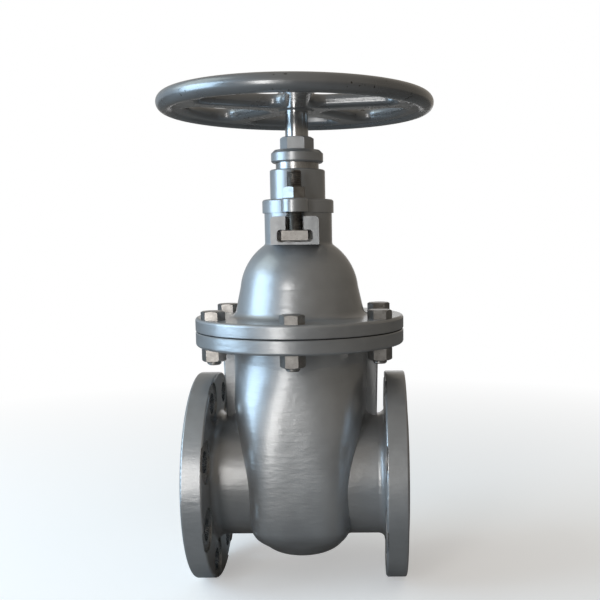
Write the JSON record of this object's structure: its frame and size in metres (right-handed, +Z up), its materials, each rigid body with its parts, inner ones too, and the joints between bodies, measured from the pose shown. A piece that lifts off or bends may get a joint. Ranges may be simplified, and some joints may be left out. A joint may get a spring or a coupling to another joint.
{
  "type": "wedge gate valve",
  "caption": "Flanged cast steel wedge gate valve with a bolted bell bonnet, a non-rising stem and a spoked handwheel.",
  "frame": {"origin": "centre of the inlet flange's raised face", "axes": "+X along the pipe from inlet to outlet, +Z up the stem towards the handwheel, -Y is the valve's front"},
  "size_m": [0.289, 0.289, 0.5397],
  "materials": {
    "grey_paint": "satin grey paint over a cast surface",
    "wheel_paint": "glossy grey paint over a cast surface",
    "bolt_steel": "plain turned and forged steel, a little dull",
    "polished_steel": "polished",
    "seat_steel": "turned",
    "wedge_iron": "as cast",
    "bronze": "machined",
    "gasket": "dark compressed fibre",
    "packing": "graphite braid"
  },
  "bodies": {
    "valve_body": {"body_casting": "grey_paint", "bonnet": "grey_paint", "stuffing_box": "grey_paint", "packing_nut": "grey_paint", "bonnet_bolt_1": "bolt_steel", "bonnet_bolt_2": "bolt_steel", "bonnet_bolt_3": "bolt_steel", "bonnet_bolt_4": "bolt_steel", "bonnet_bolt_5": "bolt_steel", "bonnet_bolt_6": "bolt_steel", "bonnet_nut_1": "bolt_steel", "bonnet_nut_2": "bolt_steel", "bonnet_nut_3": "bolt_steel", "bonnet_nut_4": "bolt_steel", "bonnet_nut_5": "bolt_steel", "bonnet_nut_6": "bolt_steel", "gland_bolt_front": "bolt_steel", "gland_bolt_back": "bolt_steel", "gland_nut_front": "bolt_steel", "gland_nut_back": "bolt_steel", "seat_ring_inlet": "seat_steel", "seat_ring_outlet": "seat_steel", "bonnet_gasket": "gasket", "stem_packing": "packing"},
    "handwheel_and_stem": {"stem": "polished_steel", "handwheel": "wheel_paint", "wheel_washer": "bolt_steel", "wheel_nut": "bolt_steel"},
    "wedge_assembly": {"wedge": "wedge_iron", "wedge_face_inlet": "seat_steel", "wedge_face_outlet": "seat_steel", "wedge_nut": "bronze"}
  },
  "joints": [
    {"name": "handwheel_turn", "type": "hinge", "parent": "valve_body", "child": "handwheel_and_stem", "pos_m": [0.115, 0, 0.397], "axis": [0, 0, 1], "range_deg": [0, 6480]},
    {"name": "wedge_lift", "type": "slide", "parent": "valve_body", "child": "wedge_assembly", "axis": [0, 0, 1], "range_m": [0, 0.108]}
  ],
  "couplings": [
    {"joint": "wedge_lift", "follows": "handwheel_turn", "m_per_rad": 0.00095493}
  ]
}
